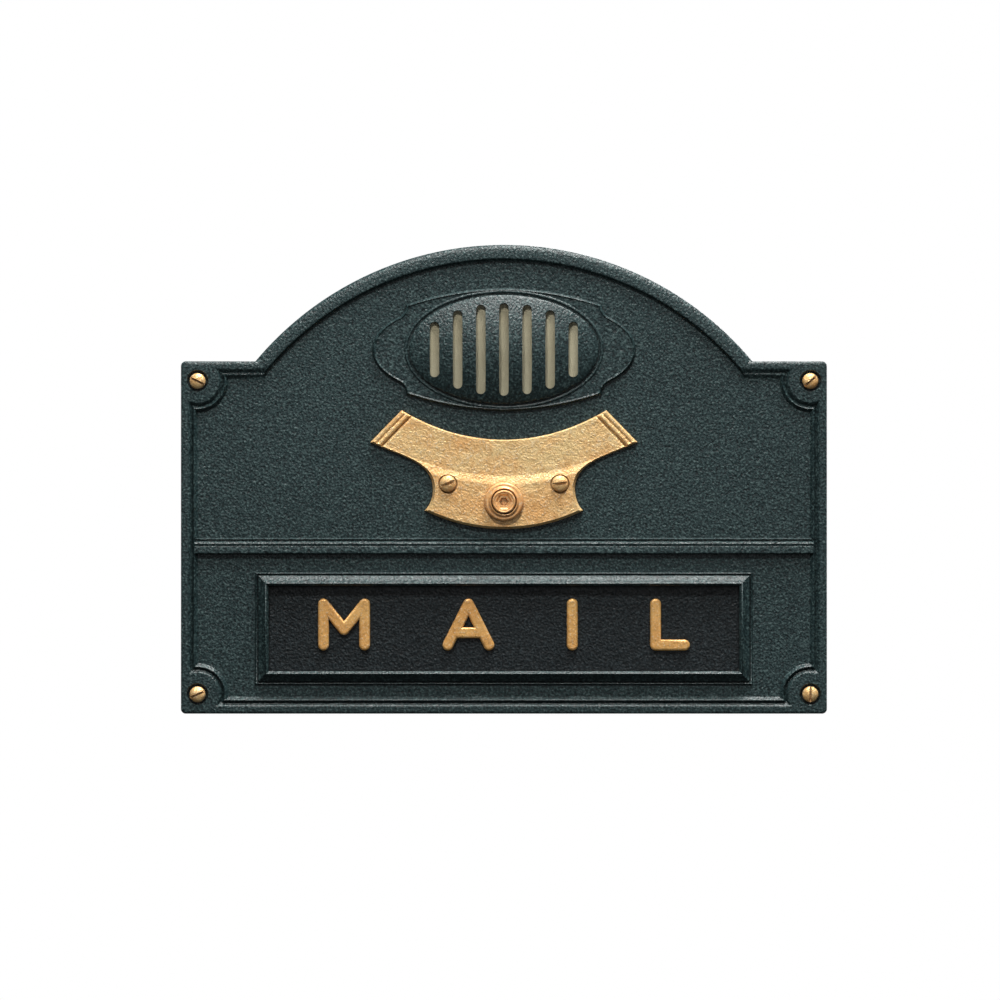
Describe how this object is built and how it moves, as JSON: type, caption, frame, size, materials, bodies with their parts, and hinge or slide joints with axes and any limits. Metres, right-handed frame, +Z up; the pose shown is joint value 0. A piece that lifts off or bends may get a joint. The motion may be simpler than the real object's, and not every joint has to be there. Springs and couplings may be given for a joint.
{
  "type": "wall mounted mailbox",
  "caption": "Through-wall letter box: arched cast front plate with slot flap, bell push and speaker grille, on a steel body with a lockable rear door.",
  "frame": {"origin": "on the wall's face, at the middle of the front plate's bottom edge", "axes": "+X to the right seen from the street, +Y into the wall, +Z up"},
  "size_m": [0.33, 0.2471, 0.2395],
  "materials": {
    "plate_paint": "fine sand-textured dark green-grey paint on cast metal",
    "flap_paint": "fine sand-textured near-black paint on cast metal",
    "brass": "satin cast brass, lightly tarnished",
    "bell_brass": "warm turned brass, satin",
    "letter_brass": "darker cast brass, satin",
    "grille_cloth": "woven beige speaker cloth",
    "speaker_paper": "matt pressed paper cone",
    "galvanised_steel": "zinc-coated sheet",
    "bright_steel": "zinc-plated or bright",
    "door_paint": "light grey powder coat",
    "black_plastic": "moulded, fine grain",
    "rubber": "matt",
    "foam": "closed-cell foam",
    "nylon": "natural nylon",
    "circuit_board": "green solder mask"
  },
  "bodies": {
    "wall_box": {"front_plate": "plate_paint", "speaker_grille": "plate_paint", "name_plate": "brass", "name_plate_screw_left": "brass", "name_plate_screw_right": "brass", "corner_screw_lower_left": "brass", "corner_screw_lower_right": "brass", "corner_screw_upper_left": "brass", "corner_screw_upper_right": "brass", "bell_rosette": "bell_brass", "bell_terminal_left": "letter_brass", "bell_terminal_right": "letter_brass", "speaker_cloth": "grille_cloth", "speaker_cone": "speaker_paper", "speaker_basket": "galvanised_steel", "speaker_magnet": "bright_steel", "grille_screw_left": "bright_steel", "grille_screw_right": "bright_steel", "name_plate_nut_left": "bright_steel", "name_plate_nut_right": "bright_steel", "bell_nut": "bright_steel", "bell_spring": "bright_steel", "bell_switch": "black_plastic", "intercom_housing": "black_plastic", "housing_screw_left": "bright_steel", "housing_screw_right": "bright_steel", "cable_grommet": "rubber", "terminal_board": "circuit_board", "terminal_block": "black_plastic", "flap_hinge_pin": "bright_steel", "hinge_clip_left": "bright_steel", "hinge_clip_right": "bright_steel", "flap_spring_left": "bright_steel", "flap_spring_right": "bright_steel", "plate_gasket": "foam", "door_gasket": "foam", "body_shell": "galvanised_steel", "mail_ramp": "galvanised_steel", "wall_plug_lower_left": "nylon", "wall_plug_lower_right": "nylon", "wall_plug_upper_left": "nylon", "wall_plug_upper_right": "nylon", "rear_hinge_shell_leaf": "bright_steel", "rear_hinge_pin": "bright_steel"},
    "flap": {"mail_flap": "flap_paint", "letter_M": "letter_brass", "letter_A": "letter_brass", "letter_I": "letter_brass", "letter_L": "letter_brass"},
    "bell": {"bell_button": "bell_brass"},
    "door": {"rear_door": "door_paint", "rear_hinge_door_leaf": "bright_steel", "lock_body": "bright_steel", "lock_nut": "bright_steel"},
    "lock": {"lock_cylinder": "letter_brass", "lock_cam": "bright_steel", "cam_screw": "bright_steel"}
  },
  "joints": [
    {"name": "flap_hinge", "type": "hinge", "parent": "wall_box", "child": "flap", "pos_m": [0, -0.0006, 0.0674], "axis": [1, 0, 0], "range_deg": [0, 70], "stiffness_Nm_per_rad": 0.02, "springref_deg": -57.3, "deforming": ["flap_spring_left", "flap_spring_right"]},
    {"name": "bell_press", "type": "slide", "parent": "wall_box", "child": "bell", "axis": [0, 1, 0], "range_m": [0, 0.002], "stiffness_N_per_m": 400, "springref_m": -0.002, "deforming": ["bell_spring"]},
    {"name": "door_hinge", "type": "hinge", "parent": "wall_box", "child": "door", "pos_m": [-0.1426, 0.2235, 0.05], "axis": [0, 0, 1], "range_deg": [0, 110]},
    {"name": "lock_turn", "type": "hinge", "parent": "door", "child": "lock", "pos_m": [0.112, 0.21, 0.05], "axis": [0, -1, 0], "range_deg": [0, 90]}
  ]
}
